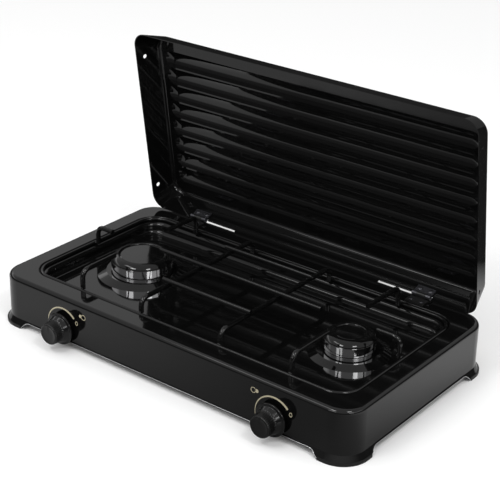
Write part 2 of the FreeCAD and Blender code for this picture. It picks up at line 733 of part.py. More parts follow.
def make_valve(side, b):
    body = new_body(side + "_valve_body")
    pad(body, Draft(body, side + "_boss", level=chamber + 0.5).box(
        -boss_x, rail_y - boss_x + 0.5, boss_x, rail_y + boss_x - 0.5), boss_rise - chamber - 0.5)
    lathe(side + "_valve", [
        (chamber, chamber_y), (valve_r, chamber_y), (valve_r, seat_end + 3), (tail_r, seat_end + 3),
        (tail_r, valve_end), (outlet, valve_end), (outlet, seat_end), (chamber - plug_taper, seat_end),
        (chamber, seat_y)], body=body)
    ears = Draft(body, side + "_ears", "XZ_Plane", chamber_y).box(-ear_x, -ear_z, ear_x, ear_z)
    ears.circle(0, 0, chamber)
    pad(body, ears, ear_thick, reverse=True)
    tapped = Draft(body, side + "_tapped", "XZ_Plane", chamber_y)
    for x in (-screw_x, screw_x):
        tapped.circle(x, 0, screw_r)
    pocket(body, tapped, ear_thick + 1)
    pocket(body, Draft(body, side + "_rail_bore", "YZ_Plane").circle(rail_y, rail_rise, rail_r + close),
           boss_x * 4, middle=True)
    pocket(body, Draft(body, side + "_inlet_port", level=rail_rise).circle(0, rail_y, gas_port),
           rail_rise - chamber + 1.5)
    piece(side + "_valve_body", place(body, b["x"], front, knob_z))

    cover = new_body(side + "_cover_body")
    plate = Draft(cover, side + "_cover", "XZ_Plane", cover_front).box(-ear_x, -ear_z, ear_x, ear_z)
    plate.circle(0, 0, spindle_r + hinge_gap)
    for x in (-screw_x, screw_x):
        plate.circle(x, 0, screw_r)
    pad(cover, plate, cover_plate, reverse=True)
    piece(side + "_valve_cover", place(cover, b["x"], front, knob_z))

    screws = make_studs(side + "_cover_screws",
                        [(-screw_dome, screw_dome, screw_head), (0, cover_plate + ear_thick, screw_r)],
                        [(b["x"] - screw_x, knob_z), (b["x"] + screw_x, knob_z)], "Y", front + cover_front)
    piece(side + "_cover_screws", screws)

    plug_r = chamber - close
    plug = lathe(side + "_plug", [
        (0, seat_y), (plug_r, seat_y), (plug_r - plug_taper, seat_end - 0.2), (outlet, seat_end - 0.2),
        (outlet, seat_end - plug_length * 0.4), (0, seat_end - plug_length * 0.4)])
    socket = flatted(Draft(plug, side + "_socket", "XZ_Plane", seat_y), spindle_tail + close, spindle_tail - flat_cut)
    pocket(plug, socket, plug_socket)
    pocket(plug, Draft(plug, side + "_plug_port", "YZ_Plane").circle(rail_y, 0, gas_port), plug_r, reverse=True)
    piece(side + "_valve_plug", place(plug, b["x"], front, knob_z))

    collar_y = chamber_y + hinge_gap
    spindle = lathe(side + "_spindle", [
        (0, -knob_gap - knob_bore), (spindle_r - 0.5, -knob_gap - knob_bore),
        (spindle_r, -knob_gap - knob_bore + 0.5), (spindle_r, collar_y), (collar, collar_y),
        (collar, collar_y + collar_thick), (spindle_tail, collar_y + collar_thick),
        (spindle_tail, collar_y + collar_thick + tail_length), (0, collar_y + collar_thick + tail_length)])
    flat = Draft(spindle, side + "_spindle_flat", "YZ_Plane").box(
        -knob_gap - knob_bore - 1, spindle_r - flat_cut, 0.5 - knob_gap, spindle_r + 1)
    pocket(spindle, flat, spindle_r * 3, middle=True)
    tail = Draft(spindle, side + "_tail_flat", "YZ_Plane").box(
        collar_y + collar_thick + 1, spindle_tail - flat_cut - close,
        collar_y + collar_thick + tail_length + 1, spindle_tail + 1)
    pocket(spindle, tail, spindle_r * 3, middle=True)
    piece(side + "_spindle", place(spindle, b["x"], front, knob_z))

    spring = lathe(side + "_spring", [
        (spring_in, collar_y + collar_thick), (spring_out, collar_y + collar_thick),
        (spring_out, seat_y), (spring_in, seat_y)])
    piece(side + "_return_spring", place(spring, b["x"], front, knob_z))

    injector = lathe(side + "_injector", [
        (gas_port, valve_end - 4), (outlet - close, valve_end - 4), (outlet - close, valve_end),
        (outlet + 1, valve_end), (outlet + 1, valve_end + 6), (outlet - 1, valve_end + 12),
        (gas_port / 2, valve_end + 12), (gas_port / 2, valve_end + 10), (gas_port, valve_end + 8)])
    nut = hexagon(Draft(injector, side + "_injector_hexagon", "XZ_Plane", valve_end), 6)
    nut.circle(0, 0, outlet + 0.5)
    pad(injector, nut, 4, reverse=True)
    piece(side + "_injector", place(injector, b["x"], front, knob_z))

    # The mixing tube draws in air at its bell and turns up into the burner cup
    bell_y = front + valve_end + 12 + air_gap + bell_length
    tube = bent_wire(side + "_mixing_tube", "YZ_Plane", 0,
                     [(bell_y, knob_z), (-tube_bend, knob_z), (term(0), knob_z + tube_bend, tube_bend),
                      (term(0), tube_top)], "XZ_Plane", bell_y, (0, knob_z), (tube_r, tube_bore))
    lathe(side + "_bell", [(tube_bore, bell_y), (tube_r, bell_y), (bell, bell_y - bell_length),
                           (bell - 1, bell_y - bell_length)], body=tube, level=knob_z)
    piece(side + "_mixing_tube", place(tube, b["x"]))


for side, b in burners.items():
    make_valve(side, b)


# Gas rail from the inlet at the rear right, through both valves

rail_level = front + rail_y
rail_start = burners["left"]["x"] - rail_end
rail = bent_wire("gas_rail", "XY_Plane", rail_z,
                 [(rail_start, rail_level), (inlet_x - rail_bend, rail_level),
                  (inlet_x, rail_level + rail_bend, rail_bend), (inlet_x, back - sheet_metal - inlet_socket)],
                 "YZ_Plane", rail_start, (rail_level, rail_z), (rail_r, rail_bore))
pad(rail, Draft(rail, "rail_end", "YZ_Plane", rail_start).circle(rail_level, rail_z, rail_r), 2, reverse=True)
ports = Draft(rail, "rail_ports", level=rail_z)
for b in burners.values():
    ports.circle(b["x"], rail_level, gas_port)
pocket(rail, ports, rail_r * 2)
piece("gas_rail", rail)

socket_y = -sheet_metal - inlet_socket
nozzle = lathe("inlet_nozzle", [
    (rail_r + close, socket_y - inlet_socket), (inlet_r, socket_y - inlet_socket), (inlet_r, -sheet_metal - 6),
    (inlet_collar, -sheet_metal - 6), (inlet_collar, -sheet_metal), (inlet_r, -sheet_metal),
    (inlet_r, nut_thick + 3), (hose_r, nut_thick + 3), (hose_r, nut_thick + 2 + hose_length),
    (hose_r - 1, nut_thick + 3 + hose_length), (rail_bore, nut_thick + 3 + hose_length),
    (rail_bore, socket_y), (rail_r + close, socket_y)])
piece("inlet_nozzle", place(nozzle, inlet_x, back, rail_z))

nut = new_body("inlet_nut_body")
face = hexagon(Draft(nut, "inlet_nut", "XZ_Plane"), nut_r)
face.circle(0, 0, inlet_r + close)
pad(nut, face, nut_thick, reverse=True)
piece("inlet_nut", place(nut, inlet_x, back, rail_z))

well_back = -well_y - sheet_metal
bracket_top = ledge - well_lip
brackets = []
for i, x in enumerate((-bracket_x, bracket_x)):
    body = new_body("bracket_body_%d" % i)
    under_well = well_floor - sheet_metal - 1
    web = Draft(body, "bracket_web_%d" % i, "YZ_Plane", x).outline([
        (rail_level - rail_r - 2, rail_z - rail_r - 2), (rail_level + rail_r + 2, rail_z - rail_r - 2),
        (rail_level + rail_r + 2, under_well), (well_back, under_well),
        (well_back, bracket_top), (rail_level - rail_r - 2, under_well)])
    web.circle(rail_level, rail_z, rail_r + close)
    pad(body, web, bracket_thick)
    pad(body, Draft(body, "bracket_foot_%d" % i, "XZ_Plane", well_back).box(
        x, well_floor, x + bracket_wide, bracket_top), bracket_thick)
    brackets.append(body)
bracket_pair = doc.addObject("Part::Compound", "bracket_pair")
bracket_pair.Links = brackets
piece("rail_brackets", bracket_pair)


# Knobs

def make_knob(side, b):
    reach = -knob_length
    knob = lathe(side + "_knob", [
        (0, 0), (knob_r, 0), (knob_r, -knob_skirt + 1), (knob_r - 1, -knob_skirt),
        (grip_foot, -knob_skirt), (grip_r + 0.8, reach + 1.2), (grip_r, reach), (0, reach)])
    flat = Draft(knob, side + "_knob_flat", "YZ_Plane").outline([
        (-knob_skirt, grip_foot - grip_flat), (-knob_skirt, knob_r + 2), (reach - 1, knob_r + 2),
        (reach - 1, grip_r - grip_flat)])
    cut = pocket(knob, flat, knob_r * 2, middle=True)
    repeat(knob, cut, "PolarPattern", "Y_Axis", 8, 360)
    bore = flatted(Draft(knob, side + "_knob_bore", "XZ_Plane"), spindle_r + close, spindle_r - flat_cut + close)
    pocket(knob, bore, knob_bore + 0.5, reverse=True)
    mark = Draft(knob, side + "_knob_pointer", "XZ_Plane", reach).box(
        -pointer / 2, 2, pointer / 2, grip_r + 1)
    pocket(knob, mark, 1)
    piece(side + "_knob", place(knob, b["x"], front - knob_gap, knob_z))


for side, b in burners.items():
    make_knob(side, b)


# Pan support of welded wire

wire_z = ledge + wire
leg_y, leg_x = ring_y - wire - finger_wire, ring_x - wire - finger_wire
bridge_z = finger_top - 2 * finger_wire

grate_ring = new_body("grate_ring_body")
straight_x, straight_y = ring_x - ring_corner, ring_y - ring_corner
loop = Draft(grate_ring, "ring_path", level=wire_z).outline([
    (ring_x, straight_y), (straight_x, ring_y, ring_corner), (-straight_x, ring_y),
    (-ring_x, straight_y, ring_corner), (-ring_x, -straight_y), (-straight_x, -ring_y, ring_corner),
    (straight_x, -ring_y), (ring_x, -straight_y, ring_corner), (ring_x, term(0))])
section = Draft(grate_ring, "ring_section", "XZ_Plane").circle(ring_x, wire_z, wire)
sweep = grate_ring.newObject("PartDesign::AdditivePipe", "ring_pipe")
sweep.Profile = section.sketch
sweep.Spine = (loop.sketch, ["Edge%d" % (i + 1) for i in range(9)])
finish(sweep)
piece("grate_ring", grate_ring)

for side, x in (("left", -bridge_x), ("right", bridge_x)):
    name = "grate_bridge_" + side
    bridge = bent_wire(name, "YZ_Plane", x,
                       [(-leg_y, wire_z), (-leg_y, bridge_z - wire_bend),
                        (wire_bend - leg_y, bridge_z, -wire_bend), (leg_y - wire_bend, bridge_z),
                        (leg_y, bridge_z - wire_bend, -wire_bend), (leg_y, wire_z)],
                       "XY_Plane", wire_z, (x, -leg_y), (finger_wire,))
    piece(name, bridge)

for name, y, half in (("front", -rod_y, rod_x), ("middle", term(0), middle_rod_x), ("rear", rod_y, rod_x)):
    rod = new_body("rod_%s_body" % name)
    pad(rod, Draft(rod, "rod_" + name, "YZ_Plane").circle(y, finger_top, finger_wire), half * 2, middle=True)
    round_edges(rod, wire_end, lambda e: e.BoundBox.XLength < 1e-6)
    piece("grate_rod_" + name, rod)

for side, b in burners.items():
    way = -1 if side == "left" else 1
    for end, turned in (("front", -1), ("rear", 1)):
        name = "grate_finger_%s_%s" % (side, end)
        finger = bent_wire(name, "YZ_Plane", b["finger_x"],
                           [(leg_y * turned, wire_z), (leg_y * turned, finger_top - wire_bend),
                            ((leg_y - wire_bend) * turned, finger_top, wire_bend * turned),
                            (b["reach"] * turned, finger_top)],
                           "XY_Plane", wire_z, (b["finger_x"], leg_y * turned), (finger_wire,))
        piece(name, finger)
    name = "grate_finger_%s_outer" % side
    tip = b["finger_x"] + b["reach"] * way
    finger = bent_wire(name, "XZ_Plane", 0,
                       [(leg_x * way, wire_z), (leg_x * way, finger_top - wire_bend),
                        ((leg_x - wire_bend) * way, finger_top, wire_bend * way), (tip, finger_top)],
                       "XY_Plane", wire_z, (leg_x * way, 0), (finger_wire,))
    piece(name, finger)


# Lid, drawn closed in the frame of its hinge axis and then swung open

rim = lid_gap - hinge_z
panel = rim + lid_depth
lean = lid_rear_flare / lid_depth
lean_run = root(lean * lean + 1)
lid_wall = sheet_metal * lean_run
lid_back = hinge_back * lean_run - rim * lean
lid_front = hinge_inset + lid_setback - depth
rib_middle = (lid_front + lid_front_flare + lid_back - lid_rear_flare) / 2


def swing(target, x=0, angle=lid_open):
    """Stands a piece of the lid up about the hinge axis."""
    target.Placement.Rotation = FreeCAD.Rotation(FreeCAD.Vector(-1, 0, 0), angle.number)
    bind(target, "Placement.Rotation.Angle", angle)
    return place(target, x, hinge_y, hinge_axis_z)


def rib(body, name, radius, kind):
    """One raised rib: the crown of a round-ended bar that lies just under the panel."""
    half = lid_x - rib_border - rib_half
    low = rib_r - rib_height - sheet_metal
    end = half + root(radius * radius - low * low)
    bar = Draft(body, name, "XZ_Plane", rib_middle - rib_pitch * (rib_count - 1) / 2, (0, rib_axis)).outline([
        (-end, low, radius), (end, low), (half, radius, radius), (-half, radius)])
    first = turn(body, bar, kind, "H_Axis", rib_arc, middle=True)
    return repeat(body, first, "LinearPattern", "Y_Axis", rib_count, rib_pitch * (rib_count - 1))


rib_half = (rib_pitch - rib_land) / 2
rib_r = (rib_half * rib_half + rib_height * rib_height) / (rib_height * 2)
rib_axis = panel + rib_height - rib_r
rib_arc = angle_of(rib_half / (rib_r - rib_height)) * 2 + 20


def lid_outline(lid, name, level, inset):
    """The outline of the lid at one height; its walls lean in from the rim to the panel."""
    part = (level - rim) / lid_depth
    near = lid_front + lid_front_flare * part + inset
    far = lid_back - lid_rear_flare * part - inset
    half = lid_x - lid_side_flare * part - inset
    return Draft(lid, name, level=level).rounded(half, (far - near) / 2, lid_corner - inset, (far + near) / 2)


def loft(body, kind, low, high):
    feature = body.newObject("PartDesign::" + kind, low.sketch.Name + "Loft")
    feature.Profile = low.sketch
    feature.Sections = [high.sketch]
    feature.Ruled = True
    return finish(feature)


def make_lid():
    lid = new_body("lid_body")
    under = panel - sheet_metal
    loft(lid, "AdditiveLoft", lid_outline(lid, "lid_rim", rim, term(0)), lid_outline(lid, "lid_panel", panel, term(0)))
    loft(lid, "SubtractiveLoft", lid_outline(lid, "rim_hollow", rim, lid_wall),
         lid_outline(lid, "panel_hollow", under, lid_wall))
    round_edges(lid, lid_edge - sheet_metal, level_edges(under))
    round_edges(lid, lid_edge, level_edges(panel))
    rib(lid, "rib_outside", rib_r, "Revolution")
    pocket(lid, lid_outline(lid, "rib_trim", under, lid_edge + 1), lid_depth / 2)
    rib(lid, "rib_inside", rib_r - sheet_metal, "Groove")

    holes = Draft(lid, "side_holes", "YZ_Plane")
    holes.circle(lid_front + side_hole_front, rim + side_hole_front_rise, side_hole)
    holes.circle(lid_back - side_hole_rear, rim + side_hole_rear_rise, side_hole)
    pocket(lid, holes, lid_x * 2 + 2, middle=True)

    # The rear wall is cut back around the hinges, with a slit beside each of them
    cuts = Draft(lid, "hinge_cuts", "XZ_Plane", lid_back + 1)
    half = hinge_width / 2 + 1
    clear = knuckle_r + hinge_gap * 1.5
    for way in (-1, 1):
        points = [(hinge_x - half - slit_width, rim - 1), (hinge_x + half, rim - 1), (hinge_x + half, clear),
                  (hinge_x - half, clear), (hinge_x - half, rim + slit_height),
                  (hinge_x - half - slit_width, rim + slit_height)]
        cuts.outline([(x * way, z) for x, z in points])
    pocket(lid, cuts, sheet_metal * 5, reverse=True)
    rivets = Draft(lid, "lid_rivet_holes", "XZ_Plane", lid_back + 1)
    for x in (-hinge_x, hinge_x):
        for step in (-rivet_x, rivet_x):
            rivets.circle(x + step, (rivet_rise + hinge_back * lean) / lean_run, rivet_r + rivet_play)
    pocket(lid, rivets, sheet_metal * 6, reverse=True)
    piece("lid_panel", swing(lid))


make_lid()
leaf_open = lid_open - angle_of(lean)


def make_hinge(side, x):
    inner = knuckle_width / 2
    plate = new_body("casing_leaf_%s_body" % side)
    low, high = -hinge_z, leaf - hinge_z
    pad(plate, Draft(plate, "casing_leaf_" + side, "YZ_Plane").box(
        -leaf_length, low, -knuckle_r - hinge_gap * 2, high), hinge_width, middle=True)
    pad(plate, Draft(plate, "casing_tail_" + side, "YZ_Plane").box(-knuckle_r - 1, low, leaf_tail, high),
        knuckle_width - hinge_gap * 2, middle=True)
    pad(plate, Draft(plate, "casing_knuckle_" + side, "YZ_Plane").circle(0, 0, knuckle_r),
        knuckle_width - hinge_gap * 2, middle=True)
    pocket(plate, Draft(plate, "casing_bore_" + side, "YZ_Plane").circle(0, 0, pin_r + close),
           knuckle_width * 2, middle=True)
    holes = Draft(plate, "casing_leaf_holes_" + side, level=high)
    for step in (-rivet_x, rivet_x):
        holes.circle(step, -rivet_back, rivet_r)
    pocket(plate, holes, leaf * 2)
    piece("casing_leaf_" + side, place(plate, x, hinge_y, hinge_axis_z))

    face = hinge_back - sheet_metal
    flap = new_body("lid_leaf_%s_body" % side)
    pad(flap, Draft(flap, "lid_leaf_" + side, "YZ_Plane").box(
        face - lid_leaf, knuckle_r + hinge_gap, face, lid_leaf_top), hinge_width, middle=True)
    for way, tag in ((-1, "a"), (1, "b")):
        for shape in ("web", "knuckle"):
            draft = Draft(flap, "lid_%s_%s_%s" % (shape, side, tag), "YZ_Plane", inner * way)
            if shape == "web":
                draft.box(face - lid_leaf, 0, face, knuckle_r + hinge_gap + 1)
            else:
                draft.circle(0, 0, knuckle_r)
            pad(flap, draft, (hinge_width - knuckle_width) / 2, reverse=way < 0)
    pocket(flap, Draft(flap, "lid_bore_" + side, "YZ_Plane").circle(0, 0, pin_r), hinge_width * 2, middle=True)
    holes = Draft(flap, "lid_leaf_holes_" + side, "XZ_Plane", face)
    for step in (-rivet_x, rivet_x):
        holes.circle(step, rivet_rise, rivet_r)
    pocket(flap, holes, lid_leaf * 2, reverse=True)
    piece("lid_leaf_" + side, swing(flap, x, leaf_open))

    pin = new_body("hinge_pin_%s_body" % side)
    pad(pin, Draft(pin, "hinge_pin_" + side, "YZ_Plane").circle(0, 0, pin_r), hinge_width + 1, middle=True)
    round_edges(pin, wire_end, lambda e: e.BoundBox.XLength < 1e-6)
    piece("hinge_pin_" + side, swing(pin, x))


for side, x in (("left", -hinge_x), ("right", hinge_x)):
    make_hinge(side, x)

spots = [(x + step, rivet_y) for x in (-hinge_x, hinge_x) for step in (-rivet_x, rivet_x)]
casing_rivets = make_studs("casing_rivets", [
    (-sheet_metal - rivet_dome, rivet_dome, rivet_head), (-sheet_metal, sheet_metal + leaf, rivet_r),
    (leaf, rivet_dome, rivet_head)], spots, "Z", top)
piece("casing_rivets", casing_rivets)

spots = [(x + step, rivet_rise) for x in (-hinge_x, hinge_x) for step in (-rivet_x, rivet_x)]
lid_rivets = make_studs("lid_rivets", [
    (-sheet_metal - lid_leaf - rivet_dome, rivet_dome, rivet_head),
    (-sheet_metal - lid_leaf, sheet_metal + lid_leaf, rivet_r),
    (term(0), rivet_dome, rivet_head)], spots, "Y", hinge_back)
piece("lid_rivets", swing(lid_rivets, angle=leaf_open))


# Checks and export

doc.recompute()
for thing in doc.Objects:
    if "Invalid" in thing.State or "Error" in thing.State:
        raise RuntimeError("%s is %s" % (thing.Name, thing.State))
os.makedirs("parts", exist_ok=True)
for name, target in pieces:
    shape = target.Shape
    if shape.isNull() or not shape.isValid() or not shape.Solids:
        raise RuntimeError("%s has no valid solid" % name)
    shape.exportStep("parts/%s.step" % name)
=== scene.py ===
# %% [markdown]
# A two-burner gas cooktop in gloss black enamel, standing open on a pale studio floor.
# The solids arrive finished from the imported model. This script gives them their surfaces, adds
# the small printed, wound, welded and turned details, and sets up the floor, lamps and camera.

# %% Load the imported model
import math

import bmesh
import bpy
from mathutils import Matrix, Vector


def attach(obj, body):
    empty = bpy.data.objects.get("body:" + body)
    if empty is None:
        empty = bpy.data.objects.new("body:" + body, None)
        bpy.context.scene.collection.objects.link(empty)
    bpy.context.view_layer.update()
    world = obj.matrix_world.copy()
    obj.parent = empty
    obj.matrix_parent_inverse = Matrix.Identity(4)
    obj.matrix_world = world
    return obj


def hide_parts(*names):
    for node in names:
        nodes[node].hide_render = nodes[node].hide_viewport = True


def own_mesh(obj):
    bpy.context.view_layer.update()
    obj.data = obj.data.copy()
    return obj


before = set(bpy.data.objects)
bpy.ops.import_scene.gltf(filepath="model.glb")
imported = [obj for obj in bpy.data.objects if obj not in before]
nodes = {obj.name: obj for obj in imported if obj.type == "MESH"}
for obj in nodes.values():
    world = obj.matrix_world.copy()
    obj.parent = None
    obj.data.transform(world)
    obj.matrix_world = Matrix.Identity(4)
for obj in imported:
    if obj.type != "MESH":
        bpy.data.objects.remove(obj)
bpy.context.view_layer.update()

# %% [markdown]
# The photograph looks down on the front right corner with a long lens, so upright edges stay
# nearly parallel. A camera is placed by where it looks, how far away it stands and at what
# angles, which is easier to read and to correct than a bare matrix. The small shift says that
# the picture was cropped a little off the middle of the lens.

# %% Camera
FOCAL_PIXELS = 1420.3
IMAGE_PIXELS = 500
OPTICAL_CENTRE = (245.2, 238.6)
AZIMUTH, ELEVATION, ROLL = (math.radians(a) for a in (37.8, 24.8, 1.2))
DISTANCE = 1.5876
TARGET = Vector((0.0093, 0.0, 0.135))

view_back = Vector((math.sin(AZIMUTH) * math.cos(ELEVATION), -math.cos(AZIMUTH) * math.cos(ELEVATION),
                    math.sin(ELEVATION)))
level_right = Vector((math.cos(AZIMUTH), math.sin(AZIMUTH), 0))
level_up = view_back.cross(level_right)
view_right = level_right * math.cos(ROLL) + level_up * math.sin(ROLL)
view_up = level_up * math.cos(ROLL) - level_right * math.sin(ROLL)

lens = bpy.data.cameras.new("studio_camera")
lens.sensor_width = 36.0
lens.lens = FOCAL_PIXELS * lens.sensor_width / IMAGE_PIXELS
lens.shift_x = (IMAGE_PIXELS / 2 - OPTICAL_CENTRE[0]) / IMAGE_PIXELS
lens.shift_y = (OPTICAL_CENTRE[1] - IMAGE_PIXELS / 2) / IMAGE_PIXELS
camera = bpy.data.objects.new("studio_camera", lens)
bpy.context.scene.collection.objects.link(camera)
turn = Matrix((view_right, view_up, view_back)).transposed().to_4x4()
camera.matrix_world = Matrix.Translation(TARGET + view_back * DISTANCE) @ turn
bpy.context.scene.camera = camera
print("lens %.1f mm at %s" % (lens.lens, tuple(round(v, 3) for v in camera.location)))

# %% [markdown]
# Node maths reads best as plain arithmetic. One small class wraps a socket, so that a + b or
# 1 - mask adds the Math node it needs. Another wraps the tree, and one method of it makes any
# other node. Both serve materials, the world and Geometry Nodes alike.

# %% Node arithmetic
class Wire:
    """One output socket of a node tree, with arithmetic."""

    def __init__(self, tree, socket):
        self.tree = tree
        self.socket = socket

    def pick(self, output):
        return Wire(self.tree, self.socket.node.outputs[output])

    def maths(self, operation, other=None, swap=False):
        node = self.tree.nodes.new("ShaderNodeMath")
        node.operation = operation
        values = [self] if other is None else ([other, self] if swap else [self, other])
        for place, value in enumerate(values):
            join(self.tree, value, node.inputs[place])
        return Wire(self.tree, node.outputs[0])

    def __add__(self, other):
        return self.maths("ADD", other)

    def __sub__(self, other):
        return self.maths("SUBTRACT", other)

    def __rsub__(self, other):
        return self.maths("SUBTRACT", other, swap=True)

    def __mul__(self, other):
        return self.maths("MULTIPLY", other)

    def __lt__(self, other):
        return self.maths("LESS_THAN", other)

    def __gt__(self, other):
        return self.maths("GREATER_THAN", other)


def join(tree, value, socket):
    """Links a Wire to a socket, or sets a plain value on it."""
    if isinstance(value, Wire):
        tree.links.new(value.socket, socket)
    else:
        socket.default_value = value


class Bench:
    """A node tree being built; node() makes a node from its type, settings and what feeds it."""

    def __init__(self, tree, prefix):
        self.tree = tree
        self.prefix = prefix

    def node(self, kind, output=0, settings=None, slots=None, **inputs):
        made = self.tree.nodes.new(kind if "Node" in kind else self.prefix + kind)
        for key, value in (settings or {}).items():
            setattr(made, key, value)
        for key, value in inputs.items():
            join(self.tree, value, made.inputs[key.replace("_", " ")])
        for key, value in (slots or {}).items():
            join(self.tree, value, made.inputs[key])
        return Wire(self.tree, made.outputs[output])

    def stretch(self, vector, scale):
        return self.node("ShaderNodeVectorMath", settings={"operation": "MULTIPLY"}, slots={0: vector, 1: scale})


def grey(value):
    return (value, value, value, 1.0)


# %% [markdown]
# A finish is a Principled shader with nodes that vary it over the surface. They all read Object
# coordinates, in metres, so a pattern keeps its real scale and stays put when a part moves.

# %% Finishes
class Finish(Bench):
    """A material under construction."""

    def __init__(self, name, **constants):
        self.material = bpy.data.materials.new(name)
        self.material.use_nodes = True
        super().__init__(self.material.node_tree, "ShaderNode")
        self.shader = self.tree.nodes["Principled BSDF"]
        for key, value in constants.items():
            self.shader.inputs[key.replace("_", " ")].default_value = value

    def place(self):
        return self.node("TexCoord", output="Object")

    def noise(self, scale, detail=2.0, place=None):
        return self.node("TexNoise", output="Fac", Vector=place or self.place(), Scale=scale, Detail=detail)

    def spread(self, value, low, high, start=0.0, end=1.0):
        return self.node("MapRange", Value=value, From_Min=start, From_Max=end, To_Min=low, To_Max=high)

    def blend(self, factor, low, high):
        return self.node("Mix", output=2, settings={"data_type": "RGBA"}, slots={0: factor, 6: low, 7: high})

    def feed(self, key, wire):
        join(self.tree, wire, self.shader.inputs[key])

    def bump(self, height, distance, strength=1.0):
        self.feed("Normal", self.node("Bump", Height=height, Distance=distance, Strength=strength))


# %% [markdown]
# Vitreous enamel is glass fused on steel: a black ground under a clear, mirror-smooth skin that
# is never quite flat. A wide soft noise gives the reflections their slight wander, a fine one
# the orange peel, and a third varies the polish where hands and cloths have been.

# %% Enamel
def enamel(name, polish, wander=0.00035, ground=0.003):
    finish = Finish(name, Base_Color=grey(ground), IOR=1.45)
    waves = finish.noise(14.0, 2.0)
    peel = finish.noise(900.0, 1.0)
    finish.bump(waves * 0.9 + peel * 0.012, wander, 0.35)
    finish.feed("Roughness", finish.spread(finish.noise(30.0, 4.0), polish, polish + 0.03, 0.35, 0.7))
    return finish.material


casing_enamel = enamel("casing enamel", 0.04)
lid_enamel = enamel("lid enamel", 0.05)
cap_enamel = enamel("burner cap enamel", 0.07, 0.0001)
wire_enamel = enamel("pan support enamel", 0.1, 0.0001)
leaf_paint = enamel("hinge leaf paint", 0.3, 0.0001, 0.01)

# %% [markdown]
# Turned and polished aluminium keeps the fine rings of the lathe, so its polish is stretched
# round the burner's axis: a noise that is long across the height and short along it. The crown
# is metallic only between two heights, with an edge that the same noise makes a little uneven.
# Above and below that band it is painted near black as painted shade, under the edge of the cap
# and in the gap over the cup. The top of the cup is painted with the same shade under the crown.

# %% Metals
def metal(name, colour, rough, streak_scale=(300.0, 300.0, 2500.0), wear=0.12, bright=None):
    finish = Finish(name)
    where = finish.stretch(finish.place(), streak_scale)
    streaks = finish.noise(1.0, 3.0, where)
    finish.feed("Roughness", finish.spread(streaks, rough * (1 - wear), rough * (1 + 2 * wear), 0.3, 0.7))
    worn = tuple(c * 0.86 for c in colour)
    finish.bump(streaks, 0.00002, 0.5)
    tint = finish.blend(finish.noise(45.0, 5.0), (*worn, 1.0), (*colour, 1.0))
    if bright is None:
        finish.shader.inputs["Metallic"].default_value = 1.0
    else:
        # painted shade: outside these heights the surface is painted near black and is not metallic
        level = finish.node("SeparateXYZ", Vector=finish.place()).pick("Z") + streaks * 0.0004
        clear_of_painted_shade = (level > bright[0]) * (level < bright[1])
        finish.feed("Metallic", clear_of_painted_shade)
        tint = finish.blend(clear_of_painted_shade, (0.008, 0.007, 0.007, 1.0), tint)
    finish.feed("Base Color", tint)
    return finish.material


# painted shade on the crown: near black above 62.0 mm under the cap's edge, and below 52.1 mm over the cup
crown_aluminium = metal("turned aluminium", (0.86, 0.86, 0.87), 0.07, bright=(0.0521, 0.0620))
# painted shade on the cup: near black above 50.5 mm, in the gap under the crown
cup_steel = metal("pressed cup steel", (0.62, 0.62, 0.63), 0.16, bright=(0.0, 0.0505))
bare_steel = metal("bare hem steel", (0.75, 0.75, 0.76), 0.3)
leaf_steel = metal("blackened leaf steel", (0.10, 0.10, 0.11), 0.4)
zinc_steel = metal("zinc plated steel", (0.42, 0.43, 0.45), 0.34)
brass = metal("machined brass", (0.80, 0.60, 0.27), 0.26, (2500.0, 300.0, 2500.0))
spring_steel = metal("spring wire", (0.45, 0.46, 0.48), 0.3)

# %% [markdown]
# The knobs are moulded black plastic with a fine satin grain, and the shoes are rubber, which
# is duller and shows its mould texture more. The dial marks are a pale gold ink, printed and
# fired on the enamel, so they are smooth but thin out a little in places.

# %% Plastic, rubber and ink
def moulded(name, ground, rough, grain, depth):
    finish = Finish(name, Base_Color=grey(ground), IOR=1.42)
    fine = finish.noise(grain, 3.0)
    finish.feed("Roughness", finish.spread(fine, rough * 0.85, rough * 1.15, 0.3, 0.7))
    finish.bump(fine, depth, 0.6)
    return finish.material


def fired_ink(name, full, thin):
    finish = Finish(name, Roughness=0.25)
    finish.feed("Base Color", finish.blend(finish.noise(700.0, 3.0), thin, full))
    finish.bump(finish.noise(1500.0, 2.0), 0.00001, 0.4)
    return finish.material


knob_plastic = moulded("knob plastic", 0.005, 0.14, 2600.0, 0.000015)
shoe_rubber = moulded("shoe rubber", 0.012, 0.5, 1400.0, 0.00008)
gold_ink = fired_ink("pale gold ink", (0.60, 0.54, 0.38, 1.0), (0.42, 0.38, 0.27, 1.0))
print("materials:", len(bpy.data.materials))

# %% Give every solid its finish
SURFACES = {
    "casing_leaf": leaf_paint, "lid_leaf": leaf_steel, "hinge_pin": leaf_steel, "screws": zinc_steel,
    "casing": casing_enamel, "lid_panel": lid_enamel, "grate_": wire_enamel,
    "burner_cap": cap_enamel, "burner_crown": crown_aluminium, "burner_cup": cup_steel,
    "knob": knob_plastic, "shoe": shoe_rubber, "valve_body": brass, "valve_plug": brass,
    "spindle": brass, "injector": brass, "inlet": brass, "mixing_tube": cup_steel,
    "spring": spring_steel, "": zinc_steel,
}


def surface_of(node):
    return next(finish for part, finish in SURFACES.items() if part in node)


for name, solid in nodes.items():
    for slot in solid.material_slots:
        slot.material = surface_of(name)

# %% [markdown]
# Small hardware repeats, so it is grown by Geometry Nodes. A recipe is a tree with named sizes.
# It runs on seeds, which are points or edges placed where the solids have them, and its result
# is kept as one plain mesh that rides on one body.

